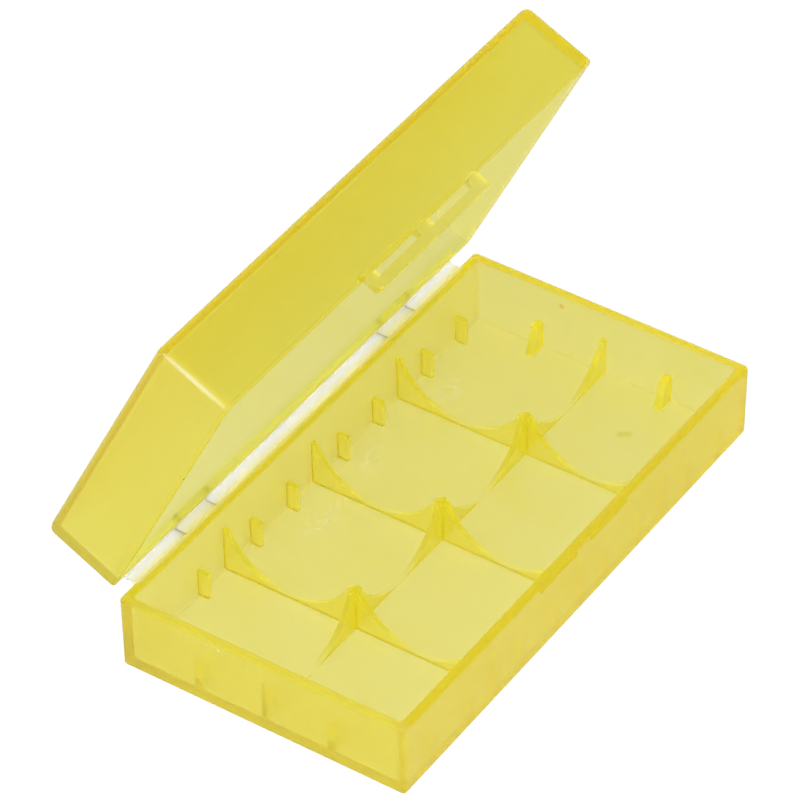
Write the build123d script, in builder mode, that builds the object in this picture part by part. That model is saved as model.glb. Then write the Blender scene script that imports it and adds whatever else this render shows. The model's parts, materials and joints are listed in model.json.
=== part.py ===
"""Battery case: a tray and a lid from one moulding, joined by a film hinge.

Millimetres, +Z up. The origin is the centre of the tray's underside. +X runs along the
case, -Y faces the latch and +Y the hinge. The lid stands open by lid_angle.
"""

import os
from math import cos, radians, sin

from build123d import *

os.makedirs("parts", exist_ok=True)

# Tray and lid, which meet at their rims
case_length = 76.0
case_width = 40.2
tray_height = 10.6
lid_height = 10.45
rim_gap = 0.1
lid_angle = 64.0

# Moulded walls, with draft in degrees
wall = 1.3
floor = 1.2
roof = 1.05
draft = 0.75
corner_radius = 0.7
inner_corner_radius = 0.5
tray_edge_radius = 0.5
lid_edge_radius = 1.0
floor_fillet = 0.3
rim_round = 0.5
rim_inner_round = 0.45

# Cradles for two long cells along the case or four short cells across it
long_cradle_radius = 9.5
short_cradle_radius = 8.9
long_cradle_lift = 0.35
short_cradle_lift = 0.05
bay_pitch = 18.55
rib_thickness = 0.68
rib_height = 6.3
divider_thickness = 0.68
divider_end_height = 5.3
crossing_height = 5.9
crossing_round = 0.4

# Fins that keep the cells off the walls
side_fin_spread = 7.7
side_fin_thickness = 0.7
side_fin_depth = 1.65
side_fin_round = 0.4
end_fin_thickness = 1.0
end_fin_foot = 2.7
end_fin_depth = 1.4
end_fin_round = 0.5
fin_height = 3.8

# Snap latch: a flap on the lid with two slots, and a nub on the tray for each slot
flap_width = 23.0
flap_drop = 2.4
flap_thickness = 1.0
flap_clearance = 0.15
flap_ramp = 0.7
flap_corner_radius = 0.6
slot_end_margin = 1.8
slot_bridge = 2.6
slot_end_clearance = 0.2
slot_side_clearance = 0.25
nub_proud = 0.3
nub_height = 0.45
nub_below_rim = 0.3
nub_nose = 0.2

# Film hinge: thin webs with two stiffer links between them
hinge_reach = 1.2
hinge_end_margin = 3.5
link_start = 18.3
link_end = 24.4
film_recess = 0.2
web_thickness = 0.3
link_thickness = 0.5
film_root = 0.95
film_root_run = 0.5

# Places that follow from the sizes
row_places = [side * (case_width / 2 - wall) / 2 for side in (-1, 1)]
bay_places = [bay * bay_pitch for bay in (-1.5, -0.5, 0.5, 1.5)]
rib_places = [-bay_pitch, 0, bay_pitch]
fin_places = [bay_x + side * side_fin_spread / 2 for bay_x in bay_places for side in (-1, 1)]
long_cradle_z = floor + long_cradle_lift + long_cradle_radius
short_cradle_z = floor + short_cradle_lift + short_cradle_radius
slot_length = (flap_width - slot_bridge) / 2 - slot_end_margin
slot_places = [side * (slot_length + slot_bridge) / 2 for side in (-1, 1)]
nub_length = slot_length - 2 * slot_end_clearance
hinge_end = case_length / 2 - hinge_end_margin
wall_embed = wall / 2
floor_embed = floor / 2
crossing_top = floor + crossing_height
tray_rim = Plane(origin=(0, 0, tray_height), x_dir=(1, 0, 0), z_dir=(0, 0, -1))
front_rim = Plane(origin=(0, -case_width / 2, tray_height), x_dir=(0, -1, 0), z_dir=(-1, 0, 0))

# The fold line lies behind the rear wall, halfway between the two rims
fold_y = case_width / 2 + hinge_reach
fold_z = tray_height + rim_gap / 2
fold_plane = Plane(origin=(0, fold_y, fold_z), x_dir=(0, 1, 0), z_dir=(1, 0, 0))
fold_angle = 180 - lid_angle
fold_half = radians(fold_angle / 2)
fold_bisector = Plane(origin=(0, 0, 0), z_dir=(cos(fold_half), sin(fold_half), 0))
lid_up = (0, sin(radians(lid_angle)), cos(radians(lid_angle)))
lid_fold = Plane(origin=(0, fold_y, fold_z), x_dir=(1, 0, 0), z_dir=lid_up)
lid_middle = lid_fold.from_local_coords((0, -hinge_reach - case_width / 2, rim_gap / 2))
lid_front = lid_fold.from_local_coords((0, -hinge_reach - case_width, rim_gap / 2))
lid_rim = Plane(origin=lid_middle, x_dir=(1, 0, 0), z_dir=lid_up)
lid_axis = Axis(lid_middle, lid_up)
flap_side = Plane(origin=lid_front, x_dir=-lid_fold.y_dir, z_dir=(-1, 0, 0))


# Tray: drafted shell, cradle grid, fins and latch nubs
with BuildPart() as base_tray:
    with BuildSketch(tray_rim):
        RectangleRounded(case_length, case_width, corner_radius)
    extrude(amount=tray_height, taper=draft)
    fillet(base_tray.faces().sort_by(Axis.Z)[0].edges(), tray_edge_radius)
    with BuildSketch(tray_rim):
        RectangleRounded(case_length - 2 * wall, case_width - 2 * wall, inner_corner_radius)
    extrude(amount=tray_height - floor, taper=draft, mode=Mode.SUBTRACT)
    fillet(base_tray.faces().filter_by(Axis.Z).sort_by(Axis.Z)[1].edges(), floor_fillet)
    fillet(base_tray.faces().sort_by(Axis.Z)[-1].outer_wire().edges(), rim_round)
    fillet(base_tray.faces().sort_by(Axis.Z)[-1].inner_wires().edges(), rim_inner_round)

    # Cross ribs, hollowed for the two rows of long cells
    for rib_x in rib_places:
        with BuildSketch(Plane.YZ.offset(rib_x)):
            with Locations((0, floor_embed)):
                Rectangle(
                    case_width - 2 * wall_embed,
                    rib_height + floor - floor_embed,
                    align=(Align.CENTER, Align.MIN),
                )
            with Locations(*[(row, long_cradle_z) for row in row_places]):
                Circle(long_cradle_radius, mode=Mode.SUBTRACT)
            with Locations((0, crossing_top)):
                Rectangle(
                    row_places[1] - row_places[0],
                    rib_height,
                    align=(Align.CENTER, Align.MIN),
                    mode=Mode.SUBTRACT,
                )
            fillet(vertices().filter_by_position(Axis.Y, crossing_top, crossing_top), crossing_round)
        extrude(amount=rib_thickness / 2, both=True)

    # Divider, hollowed for the four short cells and lower at the end walls
    with BuildSketch(Plane.XZ):
        with Locations((0, floor_embed)):
            Rectangle(
                bay_places[-1] - bay_places[0],
                crossing_top - floor_embed,
                align=(Align.CENTER, Align.MIN),
            )
            Rectangle(
                case_length - 2 * wall_embed,
                divider_end_height + floor - floor_embed,
                align=(Align.CENTER, Align.MIN),
            )
        with Locations(*[(bay_x, short_cradle_z) for bay_x in bay_places]):
            Circle(short_cradle_radius, mode=Mode.SUBTRACT)
        fillet(vertices().group_by(Axis.Y)[-1], crossing_round)
    extrude(amount=divider_thickness / 2, both=True)

    # Side fins, two to a bay on each long wall, but none in the tray's near rear corner
    for fin_x in fin_places:
        with BuildSketch(Plane.YZ.offset(fin_x)):
            for side in (-1, 1) if fin_x > fin_places[0] else (-1,):
                with Locations((side * (case_width / 2 - wall_embed), floor_embed)):
                    Rectangle(
                        wall - wall_embed + side_fin_depth,
                        fin_height + floor - floor_embed,
                        align=(Align.MAX if side > 0 else Align.MIN, Align.MIN),
                    )
            fillet(vertices().group_by(Axis.Y)[-1].sort_by(Axis.X)[1:3], side_fin_round)
        extrude(amount=side_fin_thickness / 2, both=True)

    # End fins, one to a row on each end wall, that slope back from a wide foot
    for row in row_places:
        with BuildSketch(Plane.XZ.offset(-row)):
            with BuildLine():
                inside = case_length / 2 - wall
                Polyline(
                    (inside + wall_embed, floor_embed),
                    (inside - end_fin_foot, floor_embed),
                    (inside - end_fin_foot, floor),
                    (inside - end_fin_depth, floor + fin_height),
                    (inside + wall_embed, floor + fin_height),
                    close=True,
                )
            make_face()
            fillet(vertices().group_by(Axis.Y)[-1].sort_by(Axis.X)[0], end_fin_round)
            mirror(about=Plane.YZ)
        extrude(amount=end_fin_thickness / 2, both=True)

    # Latch nubs: a sloped lead-in above and a square catch below
    for nub_x in slot_places:
        with BuildSketch(front_rim.offset(-nub_x - nub_length / 2)):
            with BuildLine():
                Polyline(
                    (-wall_embed, -nub_below_rim),
                    (0, -nub_below_rim),
                    (nub_proud, -nub_below_rim - nub_height + nub_nose),
                    (nub_proud, -nub_below_rim - nub_height),
                    (-wall_embed, -nub_below_rim - nub_height),
                    close=True,
                )
            make_face()
        extrude(amount=nub_length)

base_tray.part.label = "base_tray"
export_step(base_tray.part, "parts/base_tray.step")


# Lid: drafted shell with the latch flap over its front rim
with BuildPart() as lid_shell:
    with BuildSketch(lid_rim):
        RectangleRounded(case_length, case_width, corner_radius)
    extrude(amount=lid_height, taper=draft)
    fillet(lid_shell.faces().sort_by(lid_axis)[-1].edges(), lid_edge_radius)
    with BuildSketch(lid_rim):
        RectangleRounded(case_length - 2 * wall, case_width - 2 * wall, inner_corner_radius)
    extrude(amount=lid_height - roof, taper=draft, mode=Mode.SUBTRACT)
    fillet(lid_shell.faces().filter_by(lid_rim).sort_by(lid_axis)[1].edges(), floor_fillet)
    fillet(lid_shell.faces().sort_by(lid_axis)[0].outer_wire().edges(), rim_round)
    fillet(lid_shell.faces().sort_by(lid_axis)[0].inner_wires().edges(), rim_inner_round)

    # Flap: a ramp off the front wall, then a plate that drops past the rim
    with BuildSketch(flap_side.offset(-flap_width / 2)):
        with BuildLine():
            Polyline(
                (-wall_embed, flap_ramp),
                (0, flap_ramp),
                (flap_clearance + flap_thickness, 0),
                (flap_clearance + flap_thickness, -flap_drop),
                (flap_clearance, -flap_drop),
                (flap_clearance, 0),
                (-wall_embed, 0),
                close=True,
            )
        make_face()
    extrude(amount=flap_width)
    flap_corners = lid_shell.edges().filter_by(Axis(lid_front, lid_fold.y_dir)).group_by(lid_axis)[0]
    fillet(flap_corners, flap_corner_radius)

    # Slots that drop over the nubs
    for slot_x in slot_places:
        with BuildSketch(flap_side.offset(-slot_x - slot_length / 2)):
            with Locations((flap_clearance, -rim_gap - nub_below_rim + slot_side_clearance)):
                Rectangle(
                    flap_thickness,
                    nub_height + 2 * slot_side_clearance,
                    align=(Align.MIN, Align.MAX),
                )
        extrude(amount=slot_length, mode=Mode.SUBTRACT)

lid_shell.part.label = "lid_shell"
export_step(lid_shell.part, "parts/lid_shell.step")


# Film hinge: half of the fold is drawn, from inside the tray's wall round to its middle,
# then mirrored and trimmed to the two walls
for film_name, film_start, film_end, film_thickness in (
    ("hinge_web_left", -hinge_end, -link_end, web_thickness),
    ("hinge_link_left", -link_end, -link_start, link_thickness),
    ("hinge_web_middle", -link_start, link_start, web_thickness),
    ("hinge_link_right", link_start, link_end, link_thickness),
    ("hinge_web_right", link_end, hinge_end, web_thickness),
):
    with BuildPart() as film:
        with BuildSketch(fold_plane.offset(film_start)):
            with BuildLine():
                inner = CenterArc((0, 0), film_recess, -90, fold_angle / 2)
                outer = CenterArc((0, 0), film_recess + film_thickness, -90, fold_angle / 2)
                Polyline(
                    inner @ 0,
                    (-hinge_reach - wall_embed, -film_recess),
                    (-hinge_reach - wall_embed, -film_recess - film_root),
                    (-hinge_reach, -film_recess - film_root),
                    (-hinge_reach + film_root_run, -film_recess - film_thickness),
                    outer @ 0,
                )
                Line(inner @ 1, outer @ 1)
            make_face()
            mirror(about=fold_bisector)
        extrude(amount=film_end - film_start)
        add([base_tray.part, lid_shell.part], mode=Mode.SUBTRACT)
    film.part.label = film_name
    export_step(film.part, f"parts/{film_name}.step")
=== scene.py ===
"""Battery case: finishes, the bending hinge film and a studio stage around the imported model."""

import json
from math import cos, pi, radians, sin, sqrt

import bmesh
import bpy
from mathutils import Matrix, Quaternion, Vector


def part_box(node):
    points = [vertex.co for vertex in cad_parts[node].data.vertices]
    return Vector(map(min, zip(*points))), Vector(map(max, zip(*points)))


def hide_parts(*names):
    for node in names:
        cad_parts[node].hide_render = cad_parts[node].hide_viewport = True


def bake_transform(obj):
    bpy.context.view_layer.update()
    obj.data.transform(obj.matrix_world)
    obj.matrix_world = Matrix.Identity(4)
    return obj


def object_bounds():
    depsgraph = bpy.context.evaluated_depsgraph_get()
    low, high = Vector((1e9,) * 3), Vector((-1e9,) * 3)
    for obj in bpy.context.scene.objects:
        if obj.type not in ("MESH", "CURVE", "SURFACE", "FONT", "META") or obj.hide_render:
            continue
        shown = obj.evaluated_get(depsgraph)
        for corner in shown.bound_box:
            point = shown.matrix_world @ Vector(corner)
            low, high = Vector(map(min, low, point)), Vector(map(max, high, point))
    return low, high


bl_info = {
    "name": "Battery case",
    "version": (1, 0, 0),
    "blender": (4, 5, 0),
    "location": "View3D > Sidebar > Case",
    "description": "Dresses the packed battery case in translucent plastic and sets its stage",
    "category": "Object",
}

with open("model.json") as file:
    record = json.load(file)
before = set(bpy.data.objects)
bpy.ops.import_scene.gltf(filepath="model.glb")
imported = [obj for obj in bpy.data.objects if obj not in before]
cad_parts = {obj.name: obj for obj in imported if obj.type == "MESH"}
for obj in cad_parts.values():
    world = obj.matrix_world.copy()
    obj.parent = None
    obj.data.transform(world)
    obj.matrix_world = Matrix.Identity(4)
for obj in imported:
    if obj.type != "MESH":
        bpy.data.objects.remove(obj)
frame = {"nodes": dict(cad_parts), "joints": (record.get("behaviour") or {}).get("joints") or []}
cad_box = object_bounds()
nodes = frame["nodes"]
lid_hinge = frame["joints"][0]
fold = Vector(lid_hinge["pos_m"])
fold_angle = radians(lid_hinge["range_deg"][1])
lid_angle = pi - fold_angle
half_length, half_width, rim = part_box("base_tray")[1]
film_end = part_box("hinge_web_right")[1].x

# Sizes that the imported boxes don't give. Spots are placed in millimetres, and so is the tray's floor
MM = 0.001
bay_pitch = 18.55 * MM
fin_spread = 7.7 * MM
tray_floor = 1.2

plastic_ior = 1.49
white = (1, 1, 1, 1)
weld = 0.001 * MM
sharp_edge = radians(30)


class Wire:
    """A shader value. Arithmetic on it adds Math nodes."""

    def __init__(self, shade, socket):
        self.shade = shade
        self.socket = socket

    def math(self, operation, first, second):
        return self.shade.node("ShaderNodeMath", {"operation": operation}, {0: first, 1: second})

    def __add__(self, other):
        return self.math("ADD", self, other)

    def __radd__(self, other):
        return self.math("ADD", other, self)

    def __sub__(self, other):
        return self.math("SUBTRACT", self, other)

    def __rsub__(self, other):
        return self.math("SUBTRACT", other, self)

    def __mul__(self, other):
        return self.math("MULTIPLY", self, other)

    def __rmul__(self, other):
        return self.math("MULTIPLY", other, self)


class Shade:
    """The nodes of one material, or of the surround."""

    def __init__(self, owner, coordinates="Object"):
        self.owner = owner
        owner.use_nodes = True
        self.tree = owner.node_tree
        self.tree.nodes.clear()
        self.place = self.node("ShaderNodeTexCoord", output=coordinates)

    def node(self, kind, settings=None, values=None, output=0):
        """Adds a node, sets it up, feeds its sockets and gives one of its outputs."""
        made = self.tree.nodes.new(kind)
        for name, value in (settings or {}).items():
            setattr(made, name, value)
        for name, value in (values or {}).items():
            if isinstance(value, Wire):
                self.tree.links.new(value.socket, made.inputs[name])
            else:
                made.inputs[name].default_value = value
        return Wire(self, made.outputs[output]) if made.outputs else made

    def combine(self, operation, first, second, output="Vector"):
        """Vector arithmetic."""
        return self.node("ShaderNodeVectorMath", {"operation": operation}, {0: first, 1: second}, output)

    def mix(self, factor, first, second):
        """One colour laid over another."""
        return self.node("ShaderNodeMix", {"data_type": "RGBA"}, {0: factor, 6: first, 7: second}, 2)

    def along(self, axis, place=None):
        """One coordinate of the point, or of another place."""
        return self.node("ShaderNodeSeparateXYZ", values={0: place or self.place}, output=axis)

    def size(self, value):
        """A value without its sign."""
        return self.node("ShaderNodeMath", {"operation": "ABSOLUTE"}, {0: value})

    def shut(self):
        """Where a point of the lid lies when the lid is shut."""
        turn = {"Vector": self.place, "Center": fold, "Angle": lid_angle}
        return self.node("ShaderNodeVectorRotate", {"rotation_type": "X_AXIS"}, turn)

    def noise(self, size, detail=2.0, stretch=(1, 1, 1)):
        """Soft random patches of a size in metres, from 0 to 1."""
        place = self.combine("MULTIPLY", self.place, [part / size for part in stretch])
        return self.node("ShaderNodeTexNoise", values={"Vector": place, "Scale": 1.0, "Detail": detail})

    def ramp(self, value, start, end):
        """0 up to start and 1 from end on, with a soft change between them."""
        limits = {"Value": value, "From Min": start, "From Max": end}
        return self.node("ShaderNodeMapRange", {"interpolation_type": "SMOOTHSTEP"}, limits)

    def spot(self, place, centre, radii):
        """1 in the middle of an ellipsoid given in millimetres, fading to 0 at its surface."""
        offset = self.combine("SUBTRACT", place, [part * MM for part in centre])
        offset = self.combine("DIVIDE", offset, [part * MM for part in radii])
        return self.ramp(self.combine("LENGTH", offset, (0, 0, 0), "Value"), 1.0, 0.3)


class PlasticLook(bpy.types.PropertyGroup):
    """Finish of the moulded plastic."""

    tint: bpy.props.FloatVectorProperty(
        name="Tint",
        description="Colour that light takes on as it enters the plastic",
        subtype="COLOR",
        size=4,
        default=(0.99, 0.955, 0.61, 1.0),
    )
    flow_tint: bpy.props.FloatVectorProperty(
        name="Flow tint",
        description="Tint in the faint patches left by the flow in the mould",
        subtype="COLOR",
        size=4,
        default=(0.985, 0.94, 0.52, 1.0),
    )
    # Painted shade: a darker, more orange tint for the tray's front and far rims and its front face
    rim_shade_tint: bpy.props.FloatVectorProperty(
        name="Rim tint",
        description="Tint of the browned rims and of the front face",
        subtype="COLOR",
        size=4,
        default=(0.97, 0.88, 0.5, 1.0),
    )
    # Painted shadow of the fins and ribs on the long walls
    fin_shadow_tint: bpy.props.FloatVectorProperty(
        name="Fin tint",
        description="Tint of the long walls where fins and ribs show through them",
        subtype="COLOR",
        size=4,
        default=(0.95, 0.8, 0.3, 1.0),
    )
    shaded_tint: bpy.props.FloatVectorProperty(
        name="Shaded tint",
        description="Tint of the lid's rear rim, which lies in the shade of the fold",
        subtype="COLOR",
        size=4,
        default=(0.92, 0.905, 0.45, 1.0),
    )
    # Also the colour of the painted highlights on the rims and the lid's front corners
    worn_and_highlight_color: bpy.props.FloatVectorProperty(
        name="Worn colour",
        description="Colour of scratched, stretched and rubbed plastic",
        subtype="COLOR",
        size=4,
        default=(0.98, 0.96, 0.8, 1.0),
    )
    grain_color: bpy.props.FloatVectorProperty(
        name="Burnt grain",
        description="Tint of a burnt grain in the far end wall",
        subtype="COLOR",
        size=4,
        default=(0.85, 0.5, 0.08, 1.0),
    )
    smudge_color: bpy.props.FloatVectorProperty(
        name="Smudge",
        description="Tint of a smudge on the floor",
        subtype="COLOR",
        size=4,
        default=(0.8, 0.72, 0.25, 1.0),
    )
    speck_color: bpy.props.FloatVectorProperty(
        name="Specks",
        description="Tint of the specks of dirt on the lid's rim",
        subtype="COLOR",
        size=4,
        default=(0.12, 0.09, 0.03, 1.0),
    )
    depth_color: bpy.props.FloatVectorProperty(
        name="Depth colour",
        description="Colour that thick plastic turns to",
        subtype="COLOR",
        size=4,
        default=(0.9977, 0.9814, 0.0, 1.0),
    )
    depth_density: bpy.props.FloatProperty(
        name="Depth density",
        description="How fast colour builds up with thickness, per metre",
        default=385.0,
    )
    roughness: bpy.props.FloatProperty(
        name="Roughness",
        description="Frosting of the moulded surface",
        subtype="FACTOR",
        default=0.36,
    )
    roughness_change: bpy.props.FloatProperty(
        name="Roughness change",
        description="How much the frosting changes from place to place",
        subtype="FACTOR",
        default=0.08,
    )
    worn_roughness: bpy.props.FloatProperty(
        name="Worn roughness",
        description="Roughness of worn plastic and of dirt",
        subtype="FACTOR",
        default=0.6,
    )
    fin_shadow: bpy.props.FloatProperty(
        name="Fin shadow",
        description="How far fins and ribs show through the long walls",
        subtype="FACTOR",
        default=0.6,
    )
    whitening: bpy.props.FloatProperty(
        name="Whitening",
        description="How white the tray's rear rim is where the film leaves it",
        subtype="FACTOR",
        default=0.8,
    )
    scratch_size: bpy.props.FloatProperty(
        name="Scratch",
        description="Size of the scratches in a scuff",
        unit="LENGTH",
        default=0.65 * MM,
    )
    flow_size: bpy.props.FloatProperty(
        name="Flow patch",
        description="Size of the flow patches",
        unit="LENGTH",
        default=8 * MM,
    )
    wave_height: bpy.props.FloatProperty(
        name="Wave height",
        description="Height of the slow waves left as the walls shrank",
        unit="LENGTH",
        default=0.04 * MM,
    )
    texture_size: bpy.props.FloatProperty(
        name="Texture",
        description="Size of the fine mould texture",
        unit="LENGTH",
        default=0.35 * MM,
    )
    texture_height: bpy.props.FloatProperty(
        name="Texture height",
        description="Height of the fine mould texture",
        unit="LENGTH",
        default=0.004 * MM,
    )


class FilmShape(bpy.types.PropertyGroup):
    """Sizes and colours of the hinge film."""

    reach: bpy.props.FloatProperty(
        name="Reach",
        description="Distance from the rear walls to the fold line",
        unit="LENGTH",
        default=1.2 * MM,
    )
    recess: bpy.props.FloatProperty(
        name="Recess",
        description="Distance from the fold line to the film's inner side",
        unit="LENGTH",
        default=0.2 * MM,
    )
    web: bpy.props.FloatProperty(
        name="Web",
        description="Thickness of the thin stretches",
        unit="LENGTH",
        default=0.3 * MM,
    )
    link: bpy.props.FloatProperty(
        name="Link",
        description="Thickness of the stiffer stretches",
        unit="LENGTH",
        default=0.5 * MM,
    )
    root: bpy.props.FloatProperty(
        name="Root",
        description="Height of the film where it leaves a wall",
        unit="LENGTH",
        default=0.95 * MM,
    )
    root_run: bpy.props.FloatProperty(
        name="Root run",
        description="Length over which the root thins down",
        unit="LENGTH",
        default=0.5 * MM,
    )
    rim_round: bpy.props.FloatProperty(
        name="Rim rounding",
        description="Radius of the rear rims, which the film's roots follow",
        unit="LENGTH",
        default=0.5 * MM,
    )
    rim_gap: bpy.props.FloatProperty(
        name="Rim gap",
        description="Distance from the fold line to the plane of a rim",
        unit="LENGTH",
        default=0.05 * MM,
    )
    grain_size: bpy.props.FloatProperty(
        name="Grain",
        description="Size of the film's grain",
        unit="LENGTH",
        default=0.3 * MM,
    )
    grain_height: bpy.props.FloatProperty(
        name="Grain height",
        description="Height of the film's grain",
        unit="LENGTH",
        default=0.015 * MM,
    )
    crease_size: bpy.props.FloatProperty(
        name="Crease",
        description="Width of the film's fine creases",
        unit="LENGTH",
        default=0.12 * MM,
    )
    crease_height: bpy.props.FloatProperty(
        name="Crease height",
        description="Height of the film's fine creases",
        unit="LENGTH",
        default=0.02 * MM,
    )
    clearness: bpy.props.FloatProperty(
        name="Clearness",
        description="Share of the light that passes through the film",
        subtype="FACTOR",
        default=0.55,
    )
    bend_steps: bpy.props.IntProperty(
        name="Bend steps",
        description="Faces across each half of the fold",
        default=8,
    )
    white: bpy.props.FloatVectorProperty(
        name="White",
        description="Colour of the film where it is stretched most",
        subtype="COLOR",
        size=4,
        default=(1.0, 1.0, 0.97, 1.0),
    )
    cream: bpy.props.FloatVectorProperty(
        name="Cream",
        description="Colour of the film where it leaves the tray",
        subtype="COLOR",
        size=4,
        default=(0.98, 0.94, 0.52, 1.0),
    )
    # Painted light: the film's glow, with its colour and strength, brightens it though it is no lamp
    glow_color: bpy.props.FloatVectorProperty(
        name="Glow colour",
        description="Colour of the film's glow, which makes up for the yellow light around it",
        subtype="COLOR",
        size=4,
        default=(0.35, 0.42, 0.8, 1.0),
    )
    glow: bpy.props.FloatProperty(
        name="Glow",
        description="Light that the film gives off, for the light it pipes out of the walls",
        default=0.11,
    )
    # Painted shade at the steps between webs and links
    seam: bpy.props.FloatVectorProperty(
        name="Seam",
        description="Colour of the steps between webs and links",
        subtype="COLOR",
        size=4,
        default=(0.6, 0.52, 0.12, 1.0),
    )


class StageLook(bpy.types.PropertyGroup):
    """Floor, lights and camera."""

    floor_color: bpy.props.FloatVectorProperty(
        name="Floor colour",
        description="Colour of the floor",
        subtype="COLOR",
        size=4,
        default=(0.3, 0.3, 0.3, 1.0),
    )
    floor_size: bpy.props.FloatProperty(
        name="Floor size",
        description="Side of the floor",
        unit="LENGTH",
        default=20.0,
    )
    floor_gap: bpy.props.FloatProperty(
        name="Floor gap",
        description="Air left between the floor and the tray's underside",
        unit="LENGTH",
        default=0.05 * MM,
    )
    floor_glow: bpy.props.FloatProperty(
        name="Floor glow",
        description="Light that the floor gives off, as a light table does",
        default=0.58,
    )
    floor_dim: bpy.props.FloatVectorProperty(
        name="Floor dim",
        description="Tone of the floor's light beyond the case's far end",
        subtype="COLOR",
        size=4,
        default=(0.86, 0.86, 0.86, 1.0),
    )
    floor_fade: bpy.props.FloatProperty(
        name="Floor fade",
        description="Distance from the middle at which the floor's light has its near or its far tone",
        unit="LENGTH",
        default=60 * MM,
    )
    backdrop_glow: bpy.props.FloatProperty(
        name="Backdrop glow",
        description="Light that the camera sees from the floor beside the case",
        default=0.8,
    )
    sky_strength: bpy.props.FloatProperty(
        name="Surround",
        description="Strength of the even white light from all sides",
        default=0.8,
    )
    dim_tone: bpy.props.FloatVectorProperty(
        name="Dim tone",
        description="Tone of the surround on its dim side",
        subtype="COLOR",
        size=4,
        default=(0.4, 0.4, 0.4, 1.0),
    )
    dim_side: bpy.props.FloatVectorProperty(
        name="Dim side",
        description="Direction of the surround's dim side",
        subtype="DIRECTION",
        default=(0.7, -0.6, 0.4),
    )
    lamp_power: bpy.props.FloatProperty(
        name="Softbox",
        description="Power of the soft lamp at the near end",
        unit="POWER",
        default=4.9,
    )
    lamp_size: bpy.props.FloatProperty(
        name="Softbox size",
        description="Side of the soft lamp",
        unit="LENGTH",
        default=0.8,
    )
    lamp_place: bpy.props.FloatVectorProperty(
        name="Softbox place",
        description="Where the soft lamp stands",
        subtype="TRANSLATION",
        unit="LENGTH",
        default=(-0.85, -0.1, 0.7),
    )
    camera_azimuth: bpy.props.FloatProperty(
        name="Azimuth",
        description="Direction the camera stands in, turned from the front",
        subtype="ANGLE",
        default=radians(-55.83),
    )
    camera_elevation: bpy.props.FloatProperty(
        name="Elevation",
        description="Height of the camera above the horizon",
        subtype="ANGLE",
        default=radians(41.16),
    )
    camera_roll: bpy.props.FloatProperty(
        name="Roll",
        description="Tilt of the camera about its own axis",
        subtype="ANGLE",
        default=radians(-0.593),
    )
    camera_distance: bpy.props.FloatProperty(
        name="Distance",
        description="Distance from the camera to its target",
        unit="LENGTH",
        default=0.65,
    )
    camera_target: bpy.props.FloatVectorProperty(
        name="Target",
        description="Point that the camera looks at",
        subtype="TRANSLATION",
        unit="LENGTH",
        default=(-0.28 * MM, 5.64 * MM, 20.69 * MM),
    )
    camera_lens: bpy.props.FloatProperty(
        name="Lens",
        description="Focal length, in millimetres",
        unit="CAMERA",
        default=246.8,
    )
    camera_sensor: bpy.props.FloatProperty(
        name="Sensor",
        description="Width of the camera's sensor, in millimetres",
        unit="CAMERA",
        default=36.0,
    )


def wear_and_highlights(shade, shut, look):
    """How far the plastic is scratched or stretched white, or lit by painted highlights, from 0 to 1."""
    width = shade.size(shade.along("X"))
    height = shade.along("Z")
    below_lid = shade.ramp(height, rim + 0.3 * MM, rim + 0.1 * MM)

    # Three places on the floor and one on the near rim are scuffed
    scratches = shade.ramp(shade.noise(look.scratch_size, detail=3.0), 0.5, 0.65)
    floor_scuffs = (
        shade.spot(shade.place, (-5.5, 13.8, tray_floor), (6.0, 2.6, 0.8)) * 0.6
        + shade.spot(shade.place, (7.0, 15.0, tray_floor), (5.0, 2.4, 0.8)) * 0.55
        + shade.spot(shade.place, (22.5, 13.8, tray_floor), (5.0, 2.6, 0.8)) * 0.6
    )
    rim_scuff = shade.spot(shade.place, (-38.0, 8.0, 9.8), (1.0, 6.0, 0.4)) * 0.4
    scuffs = scratches * (floor_scuffs + rim_scuff)

    # The tray's rear rim is stretched where the film leaves it
    stretched = (
        shade.ramp(shade.along("Y"), half_width - 1.0 * MM, half_width)
        * shade.ramp(height, rim - 1.2 * MM, rim - 0.5 * MM)
        * shade.ramp(width, film_end + 0.4 * MM, film_end - 0.2 * MM)
        * below_lid
    )

    # Painted light: the tray's near rim is a little lighter, and painted highlights lie on the lid's far
    # rim and front corners
    at_end = (half_length - 1.5 * MM, half_length - 1.1 * MM)
    tray_rim = (
        shade.ramp(0 - shade.along("X"), *at_end)
        * shade.ramp(width, half_length - 0.1 * MM, half_length - 0.6 * MM)
        * shade.ramp(height, rim - 0.7 * MM, rim - 0.2 * MM)
    )
    shut_height = shade.along("Z", shut)
    lid_rim = (
        shade.ramp(shade.along("X"), *at_end)
        * shade.ramp(shut_height, rim + 0.6 * MM, rim + 0.3 * MM)
        * shade.ramp(shut_height, rim - 0.1 * MM, rim + 0.05 * MM)
    )
    corner_size = (0.45, 0.45, 6.5)
    corners = shade.spot(shut, (-37.75, -19.85, 15.9), corner_size)
    corners = corners + shade.spot(shut, (37.75, -19.85, 15.9), corner_size)
    # Painted highlights and painted light on the rims and corners
    highlighted = tray_rim * below_lid * 0.06 + lid_rim * 0.3 + corners * 0.35
    return scuffs + stretched * look.whitening + highlighted


def fin_shadows(shade):
    """Painted shadow where fins and ribs inside the long walls show through them, from 0 to 1."""
    bay = shade.node("ShaderNodeMath", {"operation": "WRAP"}, {0: shade.along("X"), 1: bay_pitch, 2: 0.0})
    from_middle = shade.size(bay - bay_pitch / 2)
    from_fin = shade.size(from_middle - fin_spread / 2)
    height = shade.along("Z")
    fade = (1.5 * MM, 0.3 * MM)
    fins = shade.ramp(from_fin, *fade) * shade.ramp(height, 6.0 * MM, 4.0 * MM)
    ribs = shade.ramp(bay_pitch / 2 - from_middle, *fade) * shade.ramp(height, 8.5 * MM, 6.0 * MM)
    depth = shade.size(shade.along("Y"))
    return (fins + ribs) * shade.ramp(depth, half_width - 0.7 * MM, half_width - 0.3 * MM)


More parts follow.
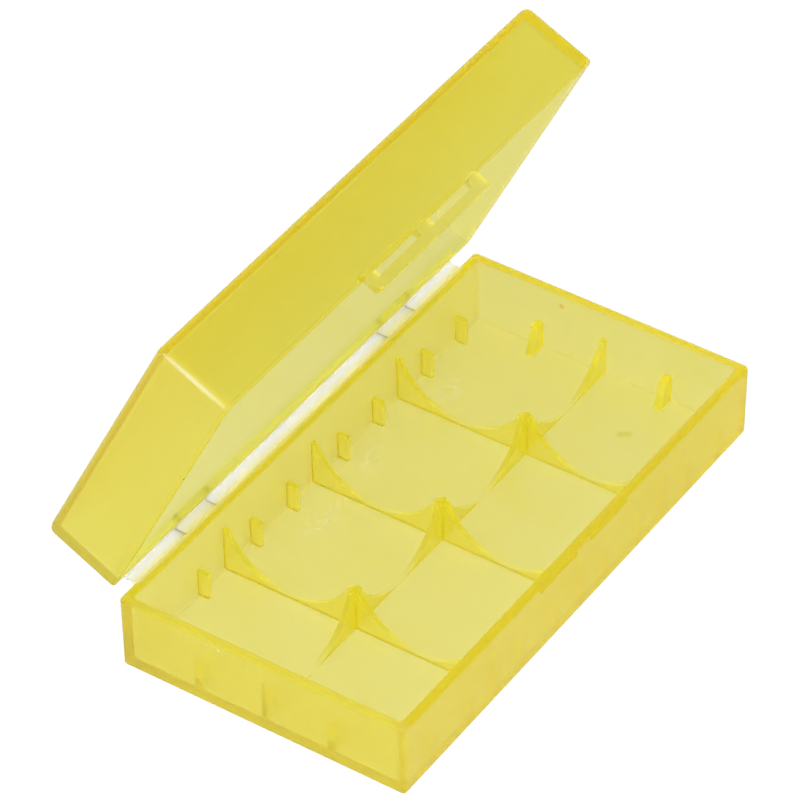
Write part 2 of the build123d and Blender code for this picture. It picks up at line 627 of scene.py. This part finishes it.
def painted_rim_shade(shade):
    """Painted shade: how far the tray's front rim, far rim and front face are tinted darker and more
    orange, from 0 to 1.
    """
    height = shade.along("Z")
    to_front = 0 - shade.along("Y")
    at_rim = shade.ramp(height, rim - 1.3 * MM, rim - 0.6 * MM)
    at_rim = at_rim * shade.ramp(height, rim + 0.3 * MM, rim + 0.1 * MM)
    front = shade.ramp(to_front, half_width - 1.7 * MM, half_width - 1.3 * MM)
    far = shade.ramp(shade.along("X"), half_length - 1.6 * MM, half_length - 1.2 * MM)
    front_face = shade.ramp(to_front, half_width - 0.5 * MM, half_width - 0.1 * MM)
    return at_rim * (front + far * 0.6) + front_face * 0.8


def shaded_rim(shade, shut):
    """Where the lid's rear rim lies in the shade of the fold, from 0 to 1."""
    height = shade.along("Z", shut)
    rear = shade.ramp(shade.along("Y", shut), half_width - 1.7 * MM, half_width - 1.2 * MM)
    above_tray = shade.ramp(height, rim - 0.2 * MM, rim)
    return rear * above_tray * shade.ramp(height, rim + 2.0 * MM, rim + 1.0 * MM)


def yellow_plastic(look):
    """Frosted translucent yellow moulding, with flow marks, a fine texture, scuffs, specks and stains,
    and painted shade, shadows and highlights.
    """
    shade = Shade(bpy.data.materials.new("yellow_plastic"))
    shut = shade.shut()
    flow = shade.noise(look.flow_size, detail=3.0)
    worn_and_lit = wear_and_highlights(shade, shut, look)
    specks = shade.spot(shut, (-37.5, -4.6, 10.7), (0.3, 0.3, 0.4))
    specks = specks + shade.spot(shut, (-37.0, 3.5, 10.7), (0.25, 0.25, 0.4))

    color = shade.mix(shade.ramp(flow, 0.45, 0.8), look.tint, look.flow_tint)
    # Painted shade on the tray's front and far rims and its front face
    color = shade.mix(painted_rim_shade(shade), color, look.rim_shade_tint)
    # Painted shadows of the fins and ribs on the long walls
    color = shade.mix(fin_shadows(shade) * look.fin_shadow, color, look.fin_shadow_tint)
    color = shade.mix(shaded_rim(shade, shut), color, look.shaded_tint)
    grain = shade.spot(shade.place, (36.75, 6.3, 8.8), (0.6, 0.5, 0.5))
    color = shade.mix(grain, color, look.grain_color)
    smudge_size = (0.8, 0.8, 0.5)
    smudge = shade.spot(shade.place, (27.75, -8.1, tray_floor), smudge_size)
    smudge = smudge + shade.spot(shade.place, (28.2, -8.8, tray_floor), smudge_size)
    color = shade.mix(smudge, color, look.smudge_color)

    frosting = flow * look.roughness_change + (look.roughness - look.roughness_change / 2)
    height = shade.noise(look.texture_size) * look.texture_height + flow * look.wave_height
    bump = shade.node("ShaderNodeBump", values={"Strength": 1.0, "Distance": 1.0, "Height": height})

    clear = shade.node(
        "ShaderNodeBsdfPrincipled",
        values={
            "Base Color": color,
            "Roughness": frosting,
            "IOR": plastic_ior,
            "Transmission Weight": 1.0,
            "Normal": bump,
        },
    )
    marked_and_lit = shade.node(
        "ShaderNodeBsdfPrincipled",
        values={
            "Base Color": shade.mix(specks, look.worn_and_highlight_color, look.speck_color),
            "Roughness": look.worn_roughness,
            "IOR": plastic_ior,
            "Normal": bump,
        },
    )
    # Scuffs, stretch marks, specks and painted highlights are laid over the clear plastic
    surface = shade.node("ShaderNodeMixShader", values={0: worn_and_lit + specks, 1: clear, 2: marked_and_lit})
    depth = shade.node(
        "ShaderNodeVolumeAbsorption",
        values={"Color": look.depth_color, "Density": look.depth_density},
    )
    shade.node("ShaderNodeOutputMaterial", values={"Surface": surface, "Volume": depth})
    return shade.owner


def whitened_film(look):
    """Folded film, whitened by bending and creamier on the links and where it leaves the tray, with
    painted shade at the steps between webs and links and a painted glow.
    """
    shade = Shade(bpy.data.materials.new("whitened_film"))
    low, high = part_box("hinge_link_right")
    width = shade.size(shade.along("X"))
    grain = shade.noise(look.grain_size, detail=3.0)
    creases = shade.noise(look.crease_size, stretch=(0.08, 1, 1))
    near_tray = shade.ramp(shade.along("Y"), fold.y - 0.4 * MM, fold.y - look.reach - 0.2 * MM)
    half = (high.x - low.x) / 2
    link = shade.ramp(shade.size(width - (low.x + half)), half, half - 0.3 * MM)
    # Painted shade along the steps between webs and links
    seam_width = (0.2 * MM, 0.08 * MM)
    painted_seam_shade = shade.ramp(shade.size(width - low.x), *seam_width)
    painted_seam_shade = painted_seam_shade + shade.ramp(shade.size(width - high.x), *seam_width)
    color = shade.mix(near_tray + link * 0.3 + grain * 0.04, look.white, look.cream)
    color = shade.mix(painted_seam_shade * 0.6, color, look.seam)
    height = grain * look.grain_height + creases * look.crease_height
    bump = shade.node("ShaderNodeBump", values={"Strength": 1.0, "Distance": 1.0, "Height": height})
    surface = shade.node(
        "ShaderNodeBsdfPrincipled",
        values={
            "Base Color": color,
            "Roughness": 0.35 + grain * 0.3,
            "IOR": plastic_ior,
            "Transmission Weight": look.clearness,
            # Painted light: the film glows though it is no lamp
            "Emission Color": shade.combine("MULTIPLY", color, look.glow_color[:3]),
            "Emission Strength": look.glow,
            "Normal": bump,
        },
    )
    shade.node("ShaderNodeOutputMaterial", values={"Surface": surface})
    return shade.owner


def film_strip(name, thickness, shape):
    """One stretch of film, bent round the fold line from the tray's rear wall to the lid's."""
    low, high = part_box(name)
    half = fold_angle / 2
    top = -shape.recess
    wall = -shape.reach
    thin = wall + shape.root_run
    round_low = -shape.rim_gap - shape.rim_round
    round_in = shape.rim_round - sqrt(shape.rim_round**2 - (top - round_low) ** 2)
    profile = (
        (0, top),
        (thin, top),
        (wall - round_in, top),
        (wall, round_low),
        (wall, top - shape.root),
        (thin, top - thickness),
        (0, top - thickness),
    )
    bm = bmesh.new()
    corners = [bm.verts.new((low.x, y, z)) for y, z in profile]
    bm.faces.new(corners)
    bent = bm.edges.get((corners[0], corners[-1]))
    turn = {"cent": (0, 0, 0), "axis": (1, 0, 0)}
    ends = [corners[0], corners[-1], bent]
    bmesh.ops.spin(bm, geom=ends, angle=half, steps=shape.bend_steps, **turn)
    bmesh.ops.rotate(bm, verts=bm.verts, cent=(0, 0, 0), matrix=Matrix.Rotation(-half, 3, "X"))
    whole = bm.verts[:] + bm.edges[:] + bm.faces[:]
    bmesh.ops.mirror(bm, geom=whole, axis="Y", merge_dist=weld)
    bmesh.ops.rotate(bm, verts=bm.verts, cent=(0, 0, 0), matrix=Matrix.Rotation(half, 3, "X"))
    bmesh.ops.translate(bm, verts=bm.verts, vec=(0, fold.y, fold.z))
    drawn = bmesh.ops.extrude_face_region(bm, geom=bm.faces[:])
    far = [item for item in drawn["geom"] if isinstance(item, bmesh.types.BMVert)]
    bmesh.ops.translate(bm, verts=far, vec=(high.x - low.x, 0, 0))
    bmesh.ops.recalc_face_normals(bm, faces=bm.faces[:])

    mesh = bpy.data.meshes.new(f"{name}_strip")
    bm.to_mesh(mesh)
    bm.free()
    mesh.shade_smooth()
    mesh.set_sharp_from_angle(angle=sharp_edge)
    strip = bpy.data.objects.new(f"{name}_strip", mesh)
    bpy.context.scene.collection.objects.link(strip)
    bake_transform(strip)
    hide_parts(name)
    return strip


def dress(obj, material):
    """Gives an object one material."""
    obj.data.materials.clear()
    obj.data.materials.append(material)


def floor_sheet(name, look, glow, graded):
    """A pale sheet under the case that gives off some light, less at the far end if graded."""
    mesh = bpy.data.meshes.new(name)
    bm = bmesh.new()
    bmesh.ops.create_grid(bm, size=look.floor_size / 2)
    bmesh.ops.translate(bm, verts=bm.verts, vec=(0, 0, cad_box[0].z - look.floor_gap))
    bm.to_mesh(mesh)
    bm.free()
    sheet = bpy.data.objects.new(name, mesh)
    bpy.context.scene.collection.objects.link(sheet)
    shade = Shade(bpy.data.materials.new(name))
    tone = white
    if graded:
        toward_far = shade.ramp(shade.along("X"), -look.floor_fade, look.floor_fade)
        tone = shade.mix(toward_far, white, look.floor_dim)
    paper = shade.node(
        "ShaderNodeBsdfPrincipled",
        values={
            "Base Color": look.floor_color,
            "Roughness": 0.9,
            "Specular IOR Level": 0.1,
            "Emission Color": tone,
            "Emission Strength": glow,
        },
    )
    shade.node("ShaderNodeOutputMaterial", values={"Surface": paper})
    dress(sheet, shade.owner)
    return sheet


class CASE_OT_shells(bpy.types.Operator):
    """Finish the tray and the lid"""

    bl_idname = "case.shells"
    bl_label = "Tray and lid"

    def execute(self, context):
        material = yellow_plastic(context.scene.case_plastic)
        for name in ("base_tray", "lid_shell"):
            dress(nodes[name], material)
        return {"FINISHED"}


class CASE_OT_film(bpy.types.Operator):
    """Make the hinge film, bent round the fold"""

    bl_idname = "case.film"
    bl_label = "Hinge film"

    def execute(self, context):
        shape = context.scene.case_film
        material = whitened_film(shape)
        for name in nodes:
            if name.startswith("hinge_"):
                thickness = shape.link if "link" in name else shape.web
                dress(film_strip(name, thickness, shape), material)
        return {"FINISHED"}


class CASE_OT_stage(bpy.types.Operator):
    """Make the floor, the light and the camera"""

    bl_idname = "case.stage"
    bl_label = "Stage"

    def execute(self, context):
        look = context.scene.case_stage

        # One sheet lights the case, and the camera sees the other, which is overexposed
        floor = floor_sheet("floor", look, look.floor_glow, graded=True)
        floor.visible_camera = False
        backdrop = floor_sheet("backdrop", look, look.backdrop_glow, graded=False)
        backdrop.visible_diffuse = False
        backdrop.visible_glossy = False
        backdrop.visible_transmission = False
        backdrop.visible_shadow = False

        # The white surround is dimmer on one side
        surround = Shade(bpy.data.worlds.new("surround"), "Generated")
        dim_side = Vector(look.dim_side).normalized()
        toward_dim = surround.combine("DOT_PRODUCT", surround.place, dim_side, "Value")
        tone = surround.mix(surround.ramp(toward_dim, 0.3, 1.0), white, look.dim_tone)
        sky = surround.node("ShaderNodeBackground", values={"Color": tone, "Strength": look.sky_strength})
        surround.node("ShaderNodeOutputWorld", values={"Surface": sky})
        context.scene.world = surround.owner
        context.scene.view_settings.view_transform = "Standard"

        softbox = bpy.data.objects.new("softbox", bpy.data.lights.new("softbox", "AREA"))
        context.scene.collection.objects.link(softbox)
        softbox.data.energy = look.lamp_power
        softbox.data.size = look.lamp_size
        softbox.location = look.lamp_place
        aim = Vector(look.camera_target) - Vector(look.lamp_place)
        softbox.rotation_euler = aim.to_track_quat("-Z", "Y").to_euler()

        # Light turns many corners inside clear walls before it leaves them
        bounces = 128
        paths = context.scene.cycles
        paths.max_bounces = bounces
        paths.transmission_bounces = bounces
        paths.glossy_bounces = bounces
        paths.diffuse_bounces = 32
        paths.blur_glossy = 0

        back = Vector((
            sin(look.camera_azimuth) * cos(look.camera_elevation),
            -cos(look.camera_azimuth) * cos(look.camera_elevation),
            sin(look.camera_elevation),
        ))
        camera = bpy.data.objects.new("camera", bpy.data.cameras.new("camera"))
        context.scene.collection.objects.link(camera)
        camera.data.sensor_width = look.camera_sensor
        camera.data.lens = look.camera_lens
        camera.data.clip_end = look.floor_size
        camera.rotation_mode = "QUATERNION"
        roll = Quaternion((0, 0, 1), look.camera_roll)
        camera.rotation_quaternion = (-back).to_track_quat("-Z", "Y") @ roll
        camera.location = Vector(look.camera_target) + back * look.camera_distance
        context.scene.camera = camera
        return {"FINISHED"}


class CASE_PT_sidebar(bpy.types.Panel):
    """The case's looks in the sidebar"""

    bl_idname = "CASE_PT_sidebar"
    bl_label = "Battery case"
    bl_space_type = "VIEW_3D"
    bl_region_type = "UI"
    bl_category = "Case"

    def draw(self, context):
        for name in steps:
            self.layout.operator(f"case.{name}")


groups = {"case_plastic": PlasticLook, "case_film": FilmShape, "case_stage": StageLook}
steps = ("shells", "film", "stage")
classes = (
    PlasticLook,
    FilmShape,
    StageLook,
    CASE_OT_shells,
    CASE_OT_film,
    CASE_OT_stage,
    CASE_PT_sidebar,
)


def register():
    for item in classes:
        bpy.utils.register_class(item)
    for name, group in groups.items():
        setattr(bpy.types.Scene, name, bpy.props.PointerProperty(type=group))


def unregister():
    for name in groups:
        delattr(bpy.types.Scene, name)
    for item in reversed(classes):
        bpy.utils.unregister_class(item)


def main():
    register()
    for name in steps:
        getattr(bpy.ops.case, name)()


if __name__ == "__main__":
    main()
